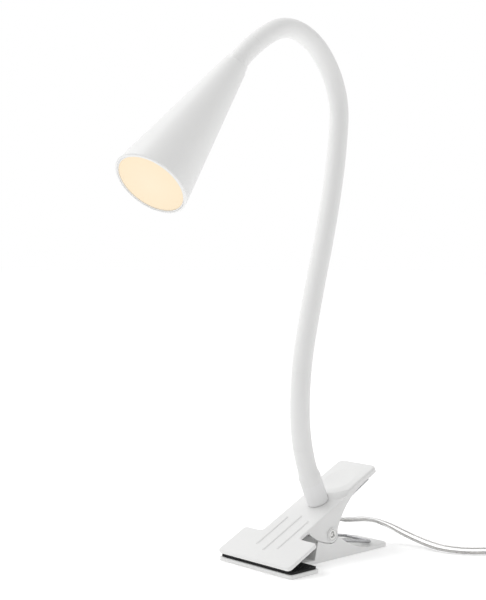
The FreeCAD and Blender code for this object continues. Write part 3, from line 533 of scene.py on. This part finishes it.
PAINTS = {
    "white_plastic": material("white_plastic", (0.77, 0.77, 0.765), 0.36, 0.012, 40, 0.10, 2600),
    "shade_white": material("shade_white", (0.78, 0.78, 0.775), 0.46, 0.010, 30, 0.14, 3400),
    "reflector_white": material("reflector_white", (0.86, 0.86, 0.85), 0.42, 0.01, 30, 0.05, 2600),
    "black_rubber": material("black_rubber", (0.010, 0.010, 0.011), 0.70, 0.2, 90, 0.5, 2200,
                             Specular_IOR_Level=0.3),
    "rivet_steel": material("rivet_steel", (0.66, 0.66, 0.65), 0.24, 0.08, 300, 0.12, 1500,
                            Metallic=1.0),
    "spring_steel": material("spring_steel", (0.44, 0.44, 0.45), 0.22, 0.10, 160, 0.15, 1200,
                             Metallic=1.0),
    "grey_nylon": material("grey_nylon", (0.32, 0.32, 0.33), 0.5, 0.05, 80, 0.2, 2000),
    "zinc_steel": material("zinc_steel", (0.62, 0.64, 0.66), 0.33, 0.10, 260, 0.15, 1500, Metallic=1.0),
    "neck_silicone": material("neck_silicone", (0.775, 0.775, 0.77), 0.55, 0.012, 25, 0.12, 2200,
                              Sheen_Weight=0.12, Sheen_Roughness=0.4),
    "gooseneck_steel": material("gooseneck_steel", (0.45, 0.45, 0.46), 0.35, 0.12, 200, 0.2, 1200,
                                Metallic=1.0),
    "wire_insulation": material("wire_insulation", (0.55, 0.10, 0.08), 0.45, 0.05, 60, 0.1, 2000),
    "sink_aluminium": material("sink_aluminium", (0.70, 0.71, 0.72), 0.40, 0.06, 220, 0.2, 1400,
                               Metallic=1.0),
    "board_white": material("board_white", (0.78, 0.78, 0.76), 0.40, 0.03, 120, 0.1, 2400),
    "led_phosphor": material("led_phosphor", (0.80, 0.62, 0.12), 0.35, 0.05, 300, 0.1, 2400),
    "clear_pvc": material("clear_pvc", (0.985, 0.985, 0.98), 0.06, 0.005, 60, 0.05, 1800, 0.03,
                          Transmission_Weight=1.0, IOR=1.45),
    "conductor": material("conductor", (0.66, 0.65, 0.64), 0.34, 0.15, 900, 0.5, 2600, Metallic=1.0),
    "lead_white": material("lead_white", (0.75, 0.75, 0.745), 0.40, 0.015, 50, 0.22, 2400),
    "rocker_white": material("rocker_white", (0.74, 0.74, 0.735), 0.32, 0.015, 60, 0.08, 2600),
    "pin_brass": material("pin_brass", (0.72, 0.70, 0.64), 0.22, 0.06, 240, 0.1, 1400, Metallic=1.0),
    "circuit_green": material("circuit_green", (0.04, 0.20, 0.09), 0.42, 0.08, 150, 0.1, 2400),
    "tie_fabric": material("tie_fabric", (0.045, 0.045, 0.048), 0.85, 0.25, 900, 0.8, 1500,
                           Sheen_Weight=0.4, Sheen_Roughness=0.5),
}


def glow_material():
    """The lit diffuser: warm, a little brighter towards its middle."""
    made = material("diffuser_warm", (0.32, 0.28, 0.21), 0.42, 0.01, 60, 0.08, 2600)
    tree = made.node_tree
    shader = tree.nodes["Principled BSDF"]
    place = tree.nodes.new("ShaderNodeTexCoord")
    low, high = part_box("diffuser")
    middle = (low + high) / 2
    away = tree.nodes.new("ShaderNodeVectorMath")
    away.operation = "DISTANCE"
    away.inputs[1].default_value = middle
    tree.links.new(place.outputs["Object"], away.inputs[0])
    ramp = tree.nodes.new("ShaderNodeValToRGB")
    scaled = tree.nodes.new("ShaderNodeMapRange")
    scaled.inputs["From Max"].default_value = 20.5 * MM
    tree.links.new(away.outputs["Value"], scaled.inputs["Value"])
    tree.links.new(scaled.outputs["Result"], ramp.inputs["Fac"])
    ramp.color_ramp.elements[0].color = (1.0, 0.84, 0.63, 1)
    ramp.color_ramp.elements[1].color = (0.97, 0.79, 0.56, 1)
    tree.links.new(ramp.outputs["Color"], shader.inputs["Emission Color"])
    shader.inputs["Emission Strength"].default_value = 0.63
    shader.inputs["Specular IOR Level"].default_value = 0.2
    return made


PAINTS["diffuser_warm"] = glow_material()


def paint(obj, name):
    """Gives a piece its finish."""
    obj.data.materials.clear()
    obj.data.materials.append(PAINTS[name])


for node in nodes.values():
    for place in node.material_slots:
        place.material = PAINTS[place.material.name.split(".")[0]]
for sleeve in sleeves:
    paint(sleeve, "neck_silicone")
for obj in (lamp_cord, mains_cord):
    paint(obj, "clear_pvc")
for obj in (*lamp_cores, *mains_cores):
    paint(obj, "conductor")
for obj in boots:
    paint(obj, "lead_white")
paint(tie, "tie_fabric")
paint(spring, "spring_steel")
paint(rivet_core, "rivet_steel")
paint(pad, "black_rubber")


# ---- Room and light ----
def add_floor():
    """A wide, bright, matt ground that runs into the background."""
    mesh = bmesh.new()
    bmesh.ops.create_circle(mesh, cap_ends=True, segments=96, radius=14.0)
    floor = piece("floor", mesh, False)
    floor.location.z = -0.00005
    made = bpy.data.materials.new("floor")
    made.use_nodes = True
    shader = made.node_tree.nodes["Principled BSDF"]
    shader.inputs["Base Color"].default_value = (0.93, 0.93, 0.93, 1)
    shader.inputs["Roughness"].default_value = 0.9
    shader.inputs["Specular IOR Level"].default_value = 0.1
    shader.inputs["Emission Color"].default_value = (1, 1, 1, 1)
    shader.inputs["Emission Strength"].default_value = 0.22
    floor.data.materials.append(made)


def add_area(name, at, aim, width, height, power):
    """A soft rectangular lamp at one point that faces another."""
    data = bpy.data.lights.new(name, "AREA")
    data.shape = "RECTANGLE"
    data.size, data.size_y = width, height
    data.energy = power
    lamp = bpy.data.objects.new(name, data)
    lamp.location = at
    lamp.rotation_euler = (Vector(aim) - Vector(at)).to_track_quat("-Z", "Y").to_euler()
    scene.collection.objects.link(lamp)


def add_world():
    """A bright studio wrap, dimmer on the side that the camera looks from."""
    world = bpy.data.worlds.new("world")
    scene.world = world
    world.use_nodes = True
    tree = world.node_tree
    back = tree.nodes["Background"]
    place = tree.nodes.new("ShaderNodeTexCoord")
    facing = tree.nodes.new("ShaderNodeVectorMath")
    facing.operation = "DOT_PRODUCT"
    facing.inputs[1].default_value = VIEW
    reach = tree.nodes.new("ShaderNodeMapRange")
    reach.inputs["From Min"].default_value = -0.95
    reach.inputs["From Max"].default_value = 0.25
    reach.inputs["To Min"].default_value = 0.50
    reach.inputs["To Max"].default_value = 1.0
    tree.links.new(place.outputs["Generated"], facing.inputs[0])
    tree.links.new(facing.outputs["Value"], reach.inputs["Value"])
    tree.links.new(reach.outputs["Result"], back.inputs["Strength"])
    back.inputs["Color"].default_value = (1, 1, 1, 1)


add_floor()
add_world()
add_area("key", (-0.45, 0.55, 1.3), (0, 0, 0.12), 0.8, 0.8, 6.5)
scene.view_settings.view_transform = "Standard"
